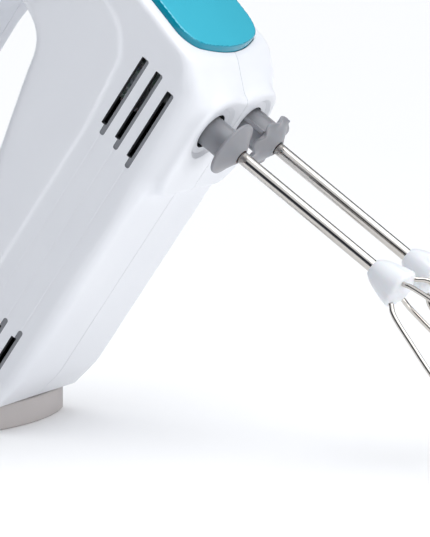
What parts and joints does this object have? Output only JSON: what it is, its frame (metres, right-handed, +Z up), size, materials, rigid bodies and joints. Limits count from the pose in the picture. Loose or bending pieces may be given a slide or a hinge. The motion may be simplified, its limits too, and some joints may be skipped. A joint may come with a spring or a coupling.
{
  "type": "hand mixer",
  "caption": "Corded hand mixer with a closed grip over a vented body, standing on its heel with two wire beaters in the nose.",
  "frame": {"origin": "centre of the foot's flat underside, which stands on the table", "axes": "+X level and forward, towards the beaters; +Y to the mixer's left; +Z up. The body leans forward-up at 55.2 degrees to the table."},
  "size_m": [0.3853, 0.0831, 0.2239],
  "materials": {
    "white_plastic": "satin",
    "teal_plastic": "gloss",
    "foot_plastic": "matt",
    "grey_plastic": "satin",
    "black_plastic": "matt",
    "nylon": "satin",
    "polished_steel": "polished",
    "steel": "satin",
    "dark_steel": "matt",
    "copper": "satin",
    "bronze": "satin",
    "carbon": "matt",
    "board": "satin",
    "capacitor_case": "satin"
  },
  "bodies": {
    "housing": {"right_housing": "white_plastic", "left_housing": "white_plastic", "front_plate": "teal_plastic", "heel_foot": "foot_plastic", "cord_gland": "grey_plastic", "gearbox_frame": "black_plastic", "rear_bracket": "black_plastic", "speed_switch": "black_plastic", "eject_spring": "steel", "stator_core": "dark_steel", "housing_screw_1": "dark_steel", "housing_screw_2": "dark_steel", "housing_screw_3": "dark_steel", "housing_screw_4": "dark_steel", "housing_screw_5": "dark_steel", "right_field_coil": "copper", "left_field_coil": "copper", "suppression_choke": "copper", "right_lower_bushing": "bronze", "left_lower_bushing": "bronze", "right_upper_bushing": "bronze", "left_upper_bushing": "bronze", "nose_bearing": "bronze", "front_bearing": "bronze", "rear_bearing": "bronze", "right_brush_holder": "bronze", "left_brush_holder": "bronze", "right_carbon_brush": "carbon", "left_carbon_brush": "carbon", "circuit_board": "board", "filter_capacitor": "capacitor_case"},
    "armature": {"motor_shaft": "steel", "armature_core": "dark_steel", "armature_front_winding": "copper", "armature_rear_winding": "copper", "commutator": "copper", "cooling_fan": "black_plastic"},
    "speed_control": {"speed_knob": "white_plastic"},
    "ejector": {"eject_button": "grey_plastic", "eject_rod": "black_plastic"},
    "right_drive": {"right_spindle": "steel", "right_worm_wheel": "nylon"},
    "right_pin": {"right_push_pin": "nylon"},
    "right_beater": {"right_beater_collar": "grey_plastic", "right_beater_stem": "polished_steel", "right_beater_hub": "nylon", "right_beater_outer_loop": "polished_steel", "right_beater_inner_loop": "polished_steel"},
    "left_drive": {"left_spindle": "steel", "left_worm_wheel": "nylon"},
    "left_pin": {"left_push_pin": "nylon"},
    "left_beater": {"left_beater_collar": "grey_plastic", "left_beater_stem": "polished_steel", "left_beater_hub": "nylon", "left_beater_outer_loop": "polished_steel", "left_beater_inner_loop": "polished_steel"}
  },
  "joints": [
    {"name": "armature_spin", "type": "hinge", "parent": "housing", "child": "armature", "pos_m": [0.08858, 0, 0.15509], "axis": [0.5707, 0, 0.8211], "continuous": true},
    {"name": "right_spindle_spin", "type": "hinge", "parent": "housing", "child": "right_drive", "pos_m": [0.08858, -0.0173, 0.15509], "axis": [-0.8211, 0, 0.5707], "continuous": true},
    {"name": "right_push_pin_slide", "type": "slide", "parent": "right_drive", "child": "right_pin", "axis": [0.8211, 0, -0.5707], "range_m": [0, 0.006]},
    {"name": "right_beater_pull", "type": "slide", "parent": "right_pin", "child": "right_beater", "axis": [0.8211, 0, -0.5707], "range_m": [0, 0.04]},
    {"name": "left_spindle_spin", "type": "hinge", "parent": "housing", "child": "left_drive", "pos_m": [0.08858, 0.0173, 0.15509], "axis": [-0.8211, 0, 0.5707], "continuous": true},
    {"name": "left_push_pin_slide", "type": "slide", "parent": "left_drive", "child": "left_pin", "axis": [0.8211, 0, -0.5707], "range_m": [0, 0.006]},
    {"name": "left_beater_pull", "type": "slide", "parent": "left_pin", "child": "left_beater", "axis": [0.8211, 0, -0.5707], "range_m": [0, 0.04]},
    {"name": "speed_knob_slide", "type": "slide", "parent": "housing", "child": "speed_control", "axis": [0.5707, 0, 0.8211], "range_m": [0, 0.024]},
    {"name": "eject_button_press", "type": "slide", "parent": "housing", "child": "ejector", "axis": [0.8211, 0, -0.5707], "range_m": [0, 0.006], "stiffness_N_per_m": 700, "springref_m": -0.006, "deforming": ["eject_spring"]}
  ],
  "couplings": [
    {"joint": "right_spindle_spin", "follows": "armature_spin", "ratio": 0.090909},
    {"joint": "left_spindle_spin", "follows": "armature_spin", "ratio": -0.090909},
    {"joint": "right_push_pin_slide", "follows": "eject_button_press", "ratio": 1},
    {"joint": "left_push_pin_slide", "follows": "eject_button_press", "ratio": 1}
  ]
}
